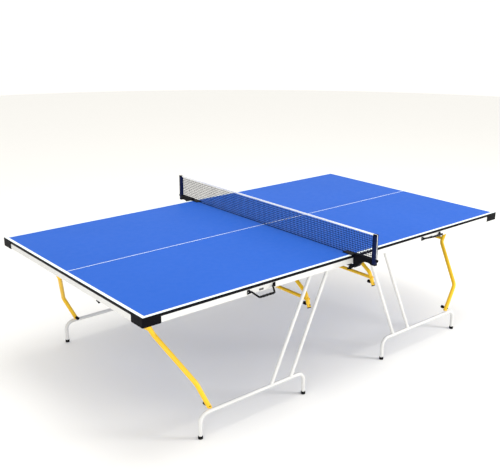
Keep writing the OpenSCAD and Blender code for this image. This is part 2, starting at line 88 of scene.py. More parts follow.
def skin_rings(bm, rings):
    """Joins equal rings of points in a row with faces and returns their vertices."""
    made = [[bm.verts.new(p) for p in ring] for ring in rings]
    for lower, upper in zip(made, made[1:]):
        count = len(lower)
        for i in range(count):
            j = (i + 1) % count
            bm.faces.new((lower[i], lower[j], upper[j], upper[i]))
    return made


def add_rings(bm, rings):
    """Skins a list of equal rings of points and closes both ends with a face."""
    made = skin_rings(bm, rings)
    bm.faces.new(list(reversed(made[0])))
    bm.faces.new(made[-1])


def circle(centre, across, along, radius, sides):
    """Points of a circle in the plane of two unit vectors."""
    turns = [2 * math.pi * i / sides for i in range(sides)]
    return [centre + radius * (math.cos(t) * across + math.sin(t) * along) for t in turns]


def add_lathe(bm, profile, place, sides=32, wobble=None):
    """Solid of revolution about local Z. wobble(radius, angle) may shape each ring."""
    rings = []
    for radius, height in profile:
        ring = []
        for i in range(sides):
            turn = 2 * math.pi * i / sides
            r = wobble(radius, turn) if wobble else radius
            ring.append(place @ Vector((r * math.cos(turn), r * math.sin(turn), height)))
        rings.append(ring)
    add_rings(bm, rings)


def add_sweep(bm, points, radius_at, sides=8, closed=False):
    """Round rod along points or a closed loop; radius_at is a number or a function of the index."""
    rings = []
    count = len(points)
    across = None
    for i, point in enumerate(points):
        before = points[i - 1] if closed or i > 0 else point
        after = points[(i + 1) % count] if closed or i < count - 1 else point
        along = (after - before).normalized()
        if across is None:
            across = along.orthogonal().normalized()
        across = (across - along * across.dot(along)).normalized()
        radius = radius_at(i) if callable(radius_at) else radius_at
        rings.append(circle(point, across, along.cross(across), radius, sides))
    if closed:
        first = rings[0]
        last = rings[-1]
        shift = min(range(sides), key=lambda k: (last[k] - first[0]).length)
        made = skin_rings(bm, rings)
        end = made[-1]
        start = made[0]
        for i in range(sides):
            j = (i + 1) % sides
            bm.faces.new((end[(i + shift) % sides], end[(j + shift) % sides], start[j], start[i]))
    else:
        add_rings(bm, rings)


def add_prism(bm, outline, low, high):
    """Upright prism on a flat outline of (x, y) points."""
    floor = [bm.verts.new((x, y, low)) for x, y in outline]
    top = [bm.verts.new((x, y, high)) for x, y in outline]
    bm.faces.new(list(reversed(floor)))
    bm.faces.new(top)
    for i in range(len(outline)):
        j = (i + 1) % len(outline)
        bm.faces.new((floor[i], floor[j], top[j], top[i]))


def add_rounded_box(bm, low, high, radius):
    """Box with rounded edges between two corners."""
    low = Vector(low)
    high = Vector(high)
    size = high - low
    place = Matrix.Translation((low + high) / 2) @ Matrix.Diagonal((*size, 1))
    made = bmesh.ops.create_cube(bm, size=1, matrix=place)
    edges = {edge for vert in made["verts"] for edge in vert.link_edges}
    bmesh.ops.bevel(bm, geom=list(edges), offset=radius, segments=3, affect="EDGES", profile=0.5)


def mirrored(point, half, side):
    """A point of the right far quarter, taken to another quarter of the table."""
    x, y, z = point
    return Vector((SIGNS[half] * x, SIGNS[side] * y, z))


def soften(names, width, segments=2):
    """Rounds the hard edges of CAD nodes."""
    for name in names:
        obj = NODES[name]
        mesh = obj.data
        for attribute in ("custom_normal", "sharp_edge"):
            if attribute in mesh.attributes:
                mesh.attributes.remove(mesh.attributes[attribute])
        mesh.polygons.foreach_set("use_smooth", [True] * len(mesh.polygons))
        weld = obj.modifiers.new("weld", "WELD")
        weld.merge_threshold = 1e-5
        bevel = obj.modifiers.new("soft_edges", "BEVEL")
        bevel.width = width
        bevel.segments = segments
        bevel.limit_method = "ANGLE"
        bevel.angle_limit = math.radians(40)
        bevel.harden_normals = True


# ---------- finishes ----------


class Finish:
    """A Principled material with helpers for its node tree."""

    def __init__(self, name, colour, roughness, metallic=0.0):
        self.material = bpy.data.materials.new(name)
        self.material.use_nodes = True
        self.material.diffuse_color = (*colour, 1)
        self.tree = self.material.node_tree
        self.shader = self.tree.nodes["Principled BSDF"]
        self.shader.inputs["Base Color"].default_value = (*colour, 1)
        self.shader.inputs["Roughness"].default_value = roughness
        self.shader.inputs["Metallic"].default_value = metallic
        self.colour = colour
        self.coords = self.tree.nodes.new("ShaderNodeTexCoord").outputs["Object"]

    def node(self, kind, **inputs):
        made = self.tree.nodes.new(kind)
        for key, value in inputs.items():
            made.inputs[key.replace("_", " ")].default_value = value
        return made

    def link(self, source, target):
        self.tree.links.new(source, target)

    def noise(self, scale, detail=2.0, stretch=None):
        made = self.node("ShaderNodeTexNoise", Scale=scale, Detail=detail)
        source = self.coords
        if stretch:
            mapping = self.node("ShaderNodeMapping", Scale=stretch)
            self.link(self.coords, mapping.inputs["Vector"])
            source = mapping.outputs["Vector"]
        self.link(source, made.inputs["Vector"])
        return made.outputs["Fac"]

    def ranged(self, source, low, high, from_low=0.3, from_high=0.7):
        made = self.node("ShaderNodeMapRange")
        made.inputs["From Min"].default_value = from_low
        made.inputs["From Max"].default_value = from_high
        made.inputs["To Min"].default_value = low
        made.inputs["To Max"].default_value = high
        self.link(source, made.inputs["Value"])
        return made.outputs["Result"]

    def mixed(self, factor, first, second):
        made = self.tree.nodes.new("ShaderNodeMix")
        made.data_type = "RGBA"
        for index, value in ((6, first), (7, second)):
            if isinstance(value, tuple):
                made.inputs[index].default_value = (*value, 1)
            else:
                self.link(value, made.inputs[index])
        self.link(factor, made.inputs[0])
        return made.outputs[2]

    def colour_from(self, source):
        self.link(source, self.shader.inputs["Base Color"])

    def vary_colour(self, scale, amount):
        """Uneven colour: a share lighter and darker, in soft patches."""
        darker = tuple(c * (1 - amount) for c in self.colour)
        lighter = tuple(min(1.0, c * (1 + amount)) for c in self.colour)
        factor = self.ranged(self.noise(scale, 3.0), 0, 1)
        self.colour_from(self.mixed(factor, darker, lighter))

    def vary_roughness(self, scale, low, high, stretch=None):
        self.link(
            self.ranged(self.noise(scale, 4.0, stretch), low, high),
            self.shader.inputs["Roughness"],
        )

    def bump(self, height, strength, distance):
        made = self.node("ShaderNodeBump", Strength=strength, Distance=distance)
        self.link(height, made.inputs["Height"])
        self.link(made.outputs["Normal"], self.shader.inputs["Normal"])

    def set(self, **inputs):
        for key, value in inputs.items():
            self.shader.inputs[key.replace("_", " ")].default_value = value


def powder_coat(name, colour, roughness=0.36, gloss=0.4):
    """Baked powder paint on steel tube: slight orange peel and uneven gloss."""
    made = Finish(name, colour, roughness)
    made.vary_colour(9, 0.035)
    made.vary_roughness(14, roughness - 0.07, roughness + 0.08)
    made.bump(made.noise(520, 2.0), 0.12, 0.0006)
    made.set(Specular_IOR_Level=gloss)
    return made.material


def painted_board():
    """Matt playing surface above; below, the same blue paint made darker as painted shade."""
    made = Finish("board_paint", (0.016, 0.107, 0.52), 0.5)
    made.set(Specular_IOR_Level=0.06)
    height = made.node("ShaderNodeSeparateXYZ")
    made.link(made.coords, height.inputs["Vector"])
    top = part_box("right_far_board")[1].z
    above = made.node("ShaderNodeMath")
    above.operation = "GREATER_THAN"
    above.inputs[1].default_value = top - 0.0005
    made.link(height.outputs["Z"], above.inputs[0])
    patches = made.ranged(made.noise(2.2, 4.0), 0, 1)
    surface = made.mixed(patches, (0.0155, 0.105, 0.51), (0.0175, 0.110, 0.53))
    # Painted shade: the underside is the top's blue made darker because it faces down, and kept dark so it throws
    # less blue light on the floor.
    shaded_underside = made.mixed(patches, (0.015, 0.070, 0.265), (0.018, 0.078, 0.29))
    made.colour_from(made.mixed(above.outputs["Value"], shaded_underside, surface))
    made.vary_roughness(30, 0.47, 0.53)
    made.bump(made.noise(900, 3.0), 0.1, 0.0004)
    return made.material


def line_paint():
    made = Finish("line_paint", (0.80, 0.875, 0.90), 0.5)
    made.vary_colour(25, 0.02)
    made.vary_roughness(60, 0.42, 0.58)
    made.bump(made.noise(1100, 3.0), 0.1, 0.0003)
    return made.material


def moulded_plastic(name, colour=(0.0022, 0.0022, 0.0036), roughness=0.46, gloss=0.05):
    """Spark-textured moulding, rubbed a little lighter on its edges."""
    made = Finish(name, colour, roughness)
    worn = made.tree.nodes.new("ShaderNodeNewGeometry").outputs["Pointiness"]
    rubbed = made.ranged(worn, 0, 1, 0.52, 0.62)
    lighter = tuple(c * 2.0 + 0.002 for c in colour)
    made.colour_from(made.mixed(rubbed, colour, lighter))
    made.vary_roughness(40, roughness - 0.06, roughness + 0.1)
    made.bump(made.noise(1400, 2.0), 0.22, 0.0004)
    made.set(Specular_IOR_Level=gloss)
    return made.material


def rubber():
    """Foot rubber with a trace of floor dust low down."""
    made = Finish("foot_rubber", (0.006, 0.006, 0.007), 0.8)
    height = made.node("ShaderNodeSeparateXYZ")
    made.link(made.coords, height.inputs["Vector"])
    low = made.ranged(height.outputs["Z"], 1, 0, 0.0, 0.012)
    specks = made.ranged(made.noise(260, 4.0), 0, 1, 0.45, 0.7)
    dusty = made.node("ShaderNodeMath")
    dusty.operation = "MULTIPLY"
    made.link(low, dusty.inputs[0])
    made.link(specks, dusty.inputs[1])
    made.colour_from(made.mixed(dusty.outputs["Value"], (0.006, 0.006, 0.007), (0.05, 0.047, 0.043)))
    made.vary_roughness(90, 0.68, 0.9)
    made.bump(made.noise(700, 3.0), 0.25, 0.0005)
    made.set(Specular_IOR_Level=0.06)
    return made.material


def zinc_steel():
    """Bright zinc plating with drawing marks."""
    made = Finish("zinc_steel", (0.56, 0.57, 0.58), 0.32, 1.0)
    made.vary_colour(60, 0.12)
    made.vary_roughness(35, 0.24, 0.44, stretch=(1, 6, 1))
    made.bump(made.noise(900, 3.0, stretch=(1, 8, 1)), 0.08, 0.0003)
    return made.material


def woven(name, colour, threads):
    """Plain weave: two crossed sets of threads."""
    roughness = 0.8
    made = Finish(name, colour, roughness)
    waves = []
    for direction in ("Y", "Z"):
        wave = made.node("ShaderNodeTexWave", Scale=threads, Distortion=0.6)
        wave.bands_direction = direction
        made.link(made.coords, wave.inputs["Vector"])
        waves.append(wave.outputs["Fac"])
    crossed = made.node("ShaderNodeMath")
    crossed.operation = "MULTIPLY"
    made.link(waves[0], crossed.inputs[0])
    made.link(waves[1], crossed.inputs[1])
    darker = tuple(c * 0.9 for c in colour)
    made.colour_from(made.mixed(crossed.outputs["Value"], darker, colour))
    made.vary_roughness(120, roughness - 0.06, roughness + 0.08)
    made.bump(crossed.outputs["Value"], 0.35, 0.0004)
    made.set(Sheen_Weight=0.3, Sheen_Roughness=0.5)
    return made.material


def twisted(name, colour, scale, gloss):
    """Twisted or braided twine."""
    made = Finish(name, colour, 0.75)
    made.set(Specular_IOR_Level=gloss)
    lay = made.node("ShaderNodeTexWave", Scale=scale, Distortion=1.5)
    lay.bands_direction = "DIAGONAL"
    made.link(made.coords, lay.inputs["Vector"])
    darker = tuple(c * 0.7 for c in colour)
    made.colour_from(made.mixed(lay.outputs["Fac"], darker, colour))
    made.vary_roughness(200, 0.66, 0.84)
    made.bump(lay.outputs["Fac"], 0.4, 0.0004)
    return made.material


FINISHES = {
    "blue_board": painted_board(),
    "white_steel": powder_coat("white_coat", (0.61, 0.61, 0.60)),
    "yellow_steel": powder_coat("yellow_coat", (0.80, 0.485, 0.022), 0.34, 0.25),
    "navy_steel": powder_coat("navy_coat", (0.003, 0.008, 0.046), 0.4, 0.08),
    "black_steel": powder_coat("black_coat", (0.0022, 0.0022, 0.0042), 0.42, 0.06),
    "steel": zinc_steel(),
    "black_plastic": moulded_plastic("black_moulding"),
    "black_gloss": moulded_plastic("handle_moulding", (0.0025, 0.0025, 0.0035), 0.36, 0.1),
    "rubber": rubber(),
    "navy_net": twisted("net_twine", (0.006, 0.008, 0.022), 900, 0.05),
    "white_tape": woven("net_binding", (0.95, 0.95, 0.91), 700),
    "white_cord": twisted("tension_cord_braid", (0.86, 0.86, 0.86), 500, 0.4),
}
LINES = line_paint()


def dress_frame():
    """Gives every CAD node the finish of its slot and rounds its edges."""
    slots = {part["node"]: part["material_slot"] for part in frame["record"]["subparts"]}
    for name, obj in NODES.items():
        obj.data.materials.clear()
        obj.data.materials.append(FINISHES[slots[name]])
    soften(["corner_guards", "net_clamps"], 0.0012, 3)
    soften(["leg_brackets", "frame_saddles", "leg_clips"], 0.0008)
    soften(["handle_mounts", "seam_hinge_leaves", "near_clamp_screw", "far_clamp_screw"], 0.0007)
    soften(["net_posts"], 0.0015, 3)
    soften(["edge_trims", "catch_plates"], 0.0004)
    soften([f"{half}_{side}_rails" for half, side in QUADRANTS], 0.0005)
    soften([f"{half}_{side}_{part}_pin" for half, side in QUADRANTS for part in ("mid", "end")], 0.0012)
    soften([f"{half}_{part}_struts" for half in HALVES for part in ("mid", "end")], 0.0004)
    soften([f"{side}_tension_knob" for side in SIDES], 0.0010)


# ---------- playing surface ----------


def court_lines():
    """Painted border and centre lines, a fifth of a millimetre thick."""
    border = 0.018
    centre = 0.002
    paint = 0.0002
    low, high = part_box("right_far_board")
    bm = bmesh.new()
    for half, side in QUADRANTS:
        inner_x = high.x - border
        inner_y = high.y - border
        edge = [
            (low.x, inner_y), (inner_x, inner_y), (inner_x, low.y),
            (high.x, low.y), (high.x, high.y), (low.x, high.y),
        ]
        middle = [(low.x, low.y), (inner_x, low.y), (inner_x, low.y + centre), (low.x, low.y + centre)]
        for outline in (edge, middle):
            points = [(SIGNS[half] * x, SIGNS[side] * y) for x, y in outline]
            add_prism(bm, points, high.z - 0.00005, high.z + paint)
    add_piece("court_lines", bm, "table_top", LINES)


# ---------- net ----------

NET_LOW, NET_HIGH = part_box("net_mesh")
TAPE_LOW, TAPE_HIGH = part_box("net_tape")
POST_LOW, POST_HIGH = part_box("net_posts")
CLAMP_LOW, CLAMP_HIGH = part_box("net_clamps")
TABLE_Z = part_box("right_far_board")[1].z
POST_INNER_Y = POST_HIGH.y - 0.020
NET_END = POST_INNER_Y - 0.010
CORD_RADIUS = 0.0015
CORD_Z = POST_HIGH.z + CORD_RADIUS - 0.0001
CLOTH = 0.00055


def net_floor(y):
    """Height of the net's lower edge: just over the board, then just over the clamp's arm."""
    over_arm = abs(y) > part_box("right_far_rails")[1].y - 0.004
    gap = 0.0018
    return CLAMP_HIGH.z + gap if over_arm else TABLE_Z + gap


def net_mesh():
    """Square netting of real strands, with a knot at each crossing and a cord round its edge."""
    cell = 0.0120
    twine = 0.0013
    edge_cord = 0.0015
    knot = 0.00323
    end = NET_END
    columns = 2 * round(end / cell)
    rows = round((NET_HIGH.z - TABLE_Z) / cell)
    rng = random.Random(7)
    top = NET_HIGH.z + 0.002

    def crossing(i, j):
        y = -end + 2 * end * i / columns
        z = max(top - (rows - j) * cell, net_floor(y)) if j else net_floor(y)
        return Vector((rng.uniform(-0.0003, 0.0003), y, z))

    grid = [[crossing(i, j) for j in range(rows + 1)] for i in range(columns + 1)]
    for column in grid[1:-1]:
        for point in column[1:-1]:
            point.y += rng.uniform(-0.0006, 0.0006)
            point.z += rng.uniform(-0.0005, 0.0005)
    bm = bmesh.new()
    for i, column in enumerate(grid):
        points = [p for k, p in enumerate(column) if k == 0 or p.z > column[k - 1].z + 1e-5]
        add_sweep(bm, points, edge_cord if i in (0, columns) else twine, sides=5)
    for j in range(rows + 1):
        row = [column[j] for column in grid]
        add_sweep(bm, row, edge_cord if j == 0 else twine, sides=5)
    for column in grid[1:-1]:
        for point in column[1:-1]:
            place = Matrix.Translation(point) @ Matrix.Rotation(rng.uniform(0, 3.1), 4, "X")
            bmesh.ops.create_cube(bm, size=knot, matrix=place)
    piece = add_piece("netting", bm, "table_top", FINISHES["navy_net"], sharp=80)
    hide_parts("net_mesh")
    return piece


def net_loops():
    """Twine loops that hold the net's ends to the posts."""
    bm = bmesh.new()
    loops = 4
    steps = 36
    half_width = 0.0113
    reach = 0.0157
    middle_y = POST_INNER_Y + 0.0055
    outer_y = POST_HIGH.y + 0.0008
    rise = (POST_HIGH.z - CLAMP_HIGH.z) / (loops + 1)
    for side in SIDES:
        for k in range(loops):
            z = CLAMP_HIGH.z + rise * (k + 0.8)
            points = []
            for i in range(steps):
                turn = 2 * math.pi * i / steps
                x = max(-half_width, min(half_width, 1.5 * half_width * math.sin(turn)))
                y = min(middle_y - reach * math.cos(turn), outer_y)
                points.append(Vector((x, SIGNS[side] * y, z + 0.0009 * math.sin(turn))))
            add_sweep(bm, points, 0.0006, sides=5, closed=True)
    add_piece("net_loops", bm, "table_top", FINISHES["navy_net"], sharp=80)


def binding_section(offset):
    """Upside-down U round the cord, narrowing to the net below it; offset is from the outside."""
    radius = TAPE_HIGH.z - CORD_Z - offset
    leg = 0.0013 - offset
    turns = [math.radians(215 - 25 * i) for i in range(11)]
    bow = [(radius * math.cos(t), CORD_Z + radius * math.sin(t)) for t in turns]
    low = TAPE_LOW.z
    rise = bow[0][1] - low
    left = [(-leg, low), (-leg - 0.00005, low + rise * 0.4), (-leg - 0.0002, low + rise * 0.8)]
    right = [(-x, z) for x, z in reversed(left)]
    return left + bow + right


def net_tape():
    """Folded binding along the top of the net, with a line of stitches near its lower edge."""
    bm = bmesh.new()
    end = TAPE_HIGH.y
    section = binding_section(0) + list(reversed(binding_section(CLOTH)))
    steps = 150
    rng = random.Random(3)
    rings = []
    for i in range(steps + 1):
        y = -end + 2 * end * i / steps
        lean = 0.0002 * math.sin(y * 23) + rng.uniform(-0.00008, 0.00008)
        drop = TAPE_HIGH.z - TAPE_LOW.z
        rings.append([Vector((x + lean * (TAPE_HIGH.z - z) / drop, y, z)) for x, z in section])
    add_rings(bm, rings)
    piece = add_piece("net_binding", bm, "table_top", FINISHES["white_tape"], sharp=60)
    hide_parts("net_tape")
    bm = bmesh.new()
    stitch = 0.004
    count = int(2 * end / (1.6 * stitch)) - 1
    z = TAPE_LOW.z + 0.0022
    for face in (-1, 1):
        for i in range(count):
            y = -end + 0.004 + i * 1.6 * stitch
            inside = face * 0.0010
            outside = face * 0.0015
            points = [
                Vector((inside, y, z)), Vector((outside, y + stitch * 0.2, z)),
                Vector((outside, y + stitch * 0.8, z)), Vector((inside, y + stitch, z)),
            ]
            add_sweep(bm, points, 0.00022, sides=4)
    add_piece("net_stitching", bm, "table_top", FINISHES["white_tape"], sharp=80)


def tension_cord():
    """One cord from knob to knob: up a post's outer side, along inside the binding, down the other."""
    radius = CORD_RADIUS
    bend = 0.006
    outer = POST_HIGH.y + radius + 0.0003
    over = POST_HIGH.z + radius + 0.0003
    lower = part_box("far_tension_knob")[1].z - 0.001
    side_points = [(outer, lower + (over - bend - lower) * i / 6) for i in range(7)]
    for i in range(1, 7):
        turn = math.pi / 2 * i / 6
        side_points.append((outer - bend + bend * math.cos(turn), over - bend + bend * math.sin(turn)))
    along = [(TAPE_HIGH.y * (1 - i / 12), CORD_Z) for i in range(12)]
    route = side_points + along + [(0.0, CORD_Z)]
    near = [Vector((0, -y, z)) for y, z in route]
    far = [Vector((0, y, z)) for y, z in reversed(route[:-1])]
    points = near + far
    curve = bpy.data.curves.new("tension_cord", "CURVE")
    curve.dimensions = "3D"
    curve.bevel_depth = radius
    curve.bevel_resolution = 4
    curve.use_fill_caps = True
    spline = curve.splines.new("POLY")
    spline.points.add(len(points) - 1)
    for target, point in zip(spline.points, points):
        target.co = (*point, 1)
    curve.materials.append(FINISHES["white_cord"])
    obj = bpy.data.objects.new("tension_cord", curve)
    bpy.context.scene.collection.objects.link(obj)
    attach(obj, "table_top")
    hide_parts("net_cord")


def post_caps():
    """Caps on both ends of each post; the top one is grooved for the cord."""
    bm = bmesh.new()
    half = (POST_HIGH.x - POST_LOW.x) / 2
    centre = POST_HIGH.y - half
    lip = 0.0008
    groove = 0.0022
    edge = half + lip
    for side in SIDES:
        inner = SIGNS[side] * centre - edge
        outer = SIGNS[side] * centre + edge
        for low_x, high_x in ((-edge, -groove), (groove, edge)):
            low = (low_x, inner, POST_HIGH.z - 0.006)
            high = (high_x, outer, POST_HIGH.z + 0.0022)
            add_rounded_box(bm, low, high, 0.001)
        low = (-edge, inner, POST_LOW.z - 0.0025)
        high = (edge, outer, POST_LOW.z + 0.005)
        add_rounded_box(bm, low, high, 0.001)
    add_piece("post_caps", bm, "table_top", FINISHES["black_plastic"])


CLAMP_LOW_Y = min(abs(v.co.y) for v in NODES["net_clamps"].data.vertices) - 0.002


def clamp_details():
    """Bolts through the clamp bodies and a rubber strip under each upper jaw's edge."""
    spots = []
    side_x = 0.012
    for side in SIDES:
        for y, z in ((0.769, 0.742), (0.769, 0.712), (0.872, 0.757)):
            for x in (-1, 1):
                at = Vector((x * side_x, SIGNS[side] * y, z))
                spots.append((at, Vector((x, 0, 0))))
    bolts("clamp_bolts", "table_top", spots, 0.0042, "black_steel")
    bm = bmesh.new()
    for side in SIDES:
        near, far = sorted((SIGNS[side] * CLAMP_LOW_Y, SIGNS[side] * (CLAMP_LOW_Y + 0.003)))
        low = (-0.0225, near, TABLE_Z)
        high = (0.0225, far, TABLE_Z + 0.0048)
        add_rounded_box(bm, low, high, 0.0008)
    add_piece("jaw_bumpers", bm, "table_top", FINISHES["rubber"])


def clamp_knobs():
    """Knurled knobs of the cord tensioners."""
    for side in SIDES:
        low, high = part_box(f"{side}_tension_knob")
        axis = Vector((0, SIGNS[side], 0))
        radius = (high.x - low.x) / 2
        face = abs(high.y) if side == "far" else abs(low.y)
        start = Vector((0, SIGNS[side] * (face - 0.009), (low.z + high.z) / 2))
        place = Matrix.Translation(start) @ turned_to(axis)
        profile = [
            (0, 0), (radius * 0.8, 0), (radius * 0.97, 0.0008), (radius, 0.002), (radius, 0.0066),
            (radius * 0.93, 0.0082), (radius * 0.7, 0.009), (radius * 0.3, 0.0086), (0, 0.0086),
        ]
        bm = bmesh.new()

        def lobed(r, turn):
            return r * (1 + 0.045 * math.cos(14 * turn)) / 1.045 if r > radius * 0.9 else r

        add_lathe(bm, profile, place, sides=84, wobble=lobed)
        add_lathe(bm, [(0, -0.013), (0.003, -0.013), (0.003, 0.001), (0, 0.001)], place, sides=24)
        knob = add_piece(
            f"{side}_cord_knob", bm, f"{side}_knob", FINISHES["black_plastic"], 50, True
        )
        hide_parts(f"{side}_tension_knob")


# ---------- fasteners and welds ----------

SADDLES = ((0.256, 0.3955), (0.256, 0.0495), (1.25, 0.5665), (1.25, 0.0465))
SADDLE_FLANGE_Z = 0.741
HINGE_X = (0.0415, 0.600, 0.942, 1.307)
HINGE_LEAF_Z = 0.712

def bolts(name, body, spots, radius, slot="steel"):
    """Pan-head screws with a cross recess, each at a point on a surface, facing outwards."""
    bm = bmesh.new()
    tall = radius * 0.55
    profile = [
        (0, -0.0002), (radius, -0.0002), (radius, tall * 0.45), (radius * 0.92, tall * 0.75),
        (radius * 0.72, tall * 0.95), (radius * 0.5, tall), (radius * 0.38, tall), (radius * 0.2, tall * 0.3),
        (0, tall * 0.25),
    ]

    def recess(r, turn):
        return r * (1 + 0.32 * math.cos(4 * turn)) if 0 < r < radius * 0.45 else r

    for at, out in spots:
        place = Matrix.Translation(at) @ turned_to(out)
        add_lathe(bm, profile, place, sides=24, wobble=recess)
    return add_piece(name, bm, body, FINISHES[slot], 30, True)


def table_screws():
    """Screws that hold the fittings, hinges, rails and guards to the half tables."""
    down = []
    side_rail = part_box("right_far_rails")
    rail_y = side_rail[1].y - 0.010
    rail_x = side_rail[1].x - 0.010
    for half, side in QUADRANTS:
        for x in (0.09, 0.46, 0.86, 1.20):
            down.append(mirrored((x, rail_y, side_rail[0].z), half, side))
        for y in (0.12, 0.38, 0.62):
            down.append(mirrored((rail_x, y, side_rail[0].z), half, side))
            down.append(mirrored((0.011, y, side_rail[0].z), half, side))
    for pivot_x, saddle_y in SADDLES:
        for half, side in QUADRANTS:
            for shift in (-0.0235, 0.0235):
                down.append(mirrored((pivot_x + shift, saddle_y, SADDLE_FLANGE_Z), half, side))
    for x in HINGE_X:
        for half, side in QUADRANTS:
            for shift in (-0.012, 0.012):
                down.append(mirrored((x + shift, 0.018, HINGE_LEAF_Z), half, side))
    spots = [(at, DOWN) for at in down]
    bolts("table_screws", "table_top", spots, 0.0034)
    outward = []
    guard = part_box("corner_guards")
    for half, side in QUADRANTS:
        side_face = mirrored((guard[1].x - 0.062, guard[1].y, 0.732), half, side)
        outward.append((side_face, Vector((0, SIGNS[side], 0))))
    bolts("guard_screws", "table_top", outward, 0.0032, "black_steel")
    lugs = []
    for half, side in QUADRANTS:
        pivot = JOINTS[f"{half}_{side}_handle_swing"]["pos_m"]
        for shift in (-0.088, 0.088):
            plate_y = side_rail[1].y + 0.003
            at = Vector((pivot[0] + shift, SIGNS[side] * plate_y, pivot[2]))
            lugs.append((at, Vector((0, SIGNS[side], 0))))
    bolts("handle_screws", "table_top", lugs, 0.0026)


def folded_place(part, half):
    """Takes a point drawn on a folded yellow frame to where the frame stands at rest."""
    joint = JOINTS[f"{half}_{part}_fold"]
    pivot = Vector(joint["pos_m"])
    turn = math.radians(joint["range_deg"][1])
    back = Matrix.Rotation(-turn, 4, Vector(joint["axis"]))
    return Matrix.Translation(pivot) @ back @ Matrix.Translation(Vector((-pivot.x, 0, 0)))


def weld_bead(bm, start, along, radius, main_point, main_along, main_radius, place):
    """Rippled fillet where a tube of the given radius meets the side of a main tube."""
    along = along.normalized()
    main_along = main_along.normalized()
    across = along.orthogonal().normalized()
    third = along.cross(across)
    points = []
    steps = 64
    for i in range(steps):
        turn = 2 * math.pi * i / steps
        origin = start + radius * (math.cos(turn) * across + math.sin(turn) * third) - main_point
        flat_origin = origin - main_along * origin.dot(main_along)
        flat_along = along - main_along * along.dot(main_along)
        a = flat_along.length_squared
        b = 2 * flat_origin.dot(flat_along)
        c = flat_origin.length_squared - (main_radius + 0.0002) ** 2
        root = max(0.0, b * b - 4 * a * c) ** 0.5
        reach = (-b - root) / (2 * a)
        points.append(place @ (origin + main_point + along * reach))
    add_sweep(bm, points, lambda i: 0.0014 * (1 + 0.16 * math.sin(i * 2.4)), sides=6, closed=True)


PIVOT_Z = JOINTS["right_mid_fold"]["pos_m"][2]
LEG_Y = abs(JOINTS["right_far_leg_fold"]["pos_m"][1])
FOOT_TUBE_Z = 0.135
FOOT_TUBE_RADIUS = 0.011
BRACE_RADIUS = 0.010
BRACES = ((0.164, 0.431), (0.295, 0.572))
MID_X = abs(JOINTS["right_mid_fold"]["pos_m"][0])
END_X = abs(JOINTS["right_end_fold"]["pos_m"][0])
FRAME_RADIUS = 0.011
CROSS_RADIUS = 0.010
END_LEG_RADIUS = 0.0125
END_LEG_Y = 0.5055
MID_KNEE = Vector((0.106, 0.6505, 0))
MID_TOE = Vector((0.032, 0.6835, 0))
STRUT_Y = 0.0725


def leg_welds():
    for half, side in QUADRANTS:
        bm = bmesh.new()
        for top_x, foot_x in BRACES:
            top = mirrored((top_x, LEG_Y, PIVOT_Z), half, side)
            foot = mirrored((foot_x, LEG_Y, FOOT_TUBE_Z), half, side)
            level = Vector((1, 0, 0))
            upright = foot - top
            middle = (top + foot) / 2
            same = Matrix.Identity(4)
            weld_bead(bm, middle, -upright, BRACE_RADIUS, top, level, BRACE_RADIUS, same)
            weld_bead(bm, middle, upright, BRACE_RADIUS, foot, level, FOOT_TUBE_RADIUS, same)
        body = f"{half}_{side}_leg_frame"
        add_piece(f"{half}_{side}_leg_welds", bm, body, FINISHES["white_steel"], 60)


def frame_welds():
    for half in HALVES:
        hand = SIGNS[half]
        mid = bmesh.new()
        end = bmesh.new()
        mid_place = folded_place("mid", half)
        end_place = folded_place("end", half)
        inward = Vector((hand, 0, 0))
        for side in SIDES:
            y = SIGNS[side]
            across = Vector((0, y, 0))
            flip = Vector((hand, y, 1))
            knee = MID_KNEE * flip
            toe = MID_TOE * flip
            cross = Vector((hand * (MID_X - 0.181), y * 0.55, 0))
            weld_bead(mid, cross, across, CROSS_RADIUS, knee, toe - knee, FRAME_RADIUS, mid_place)
            leg = Vector((hand * (END_X - 0.09), y * END_LEG_Y, 0))
            pivot = Vector((hand * END_X, y * END_LEG_Y, 0))
            weld_bead(end, leg, inward, END_LEG_RADIUS - 0.0016, pivot, across, FRAME_RADIUS, end_place)
            cross = Vector((hand * (END_X - 0.180), y * 0.45, 0))
            weld_bead(end, cross, across, CROSS_RADIUS, leg, inward, END_LEG_RADIUS, end_place)
        for part, bm in (("mid", mid), ("end", end)):
            body = f"{half}_{part}_frame"
            add_piece(f"{half}_{part}_welds", bm, body, FINISHES["yellow_steel"], 60)


def strut_rivets():
    """Rivets near both ends of each flat strut."""
    for half in HALVES:
        for part, pivot_x in (("mid", MID_X), ("end", END_X)):
            place = folded_place(part, half)
            turn = place.to_3x3()
            spots = []
            for side in SIDES:
                for back in (0.022, 0.158):
                    for face in (-1, 1):
                        at = Vector((SIGNS[half] * (pivot_x - back), SIGNS[side] * STRUT_Y, face * 0.00125))
                        spots.append((place @ at, turn @ Vector((0, 0, face))))
            bolts(f"{half}_{part}_rivets", f"{half}_{part}_frame", spots, 0.0036)


# ---------- feet and handles ----------


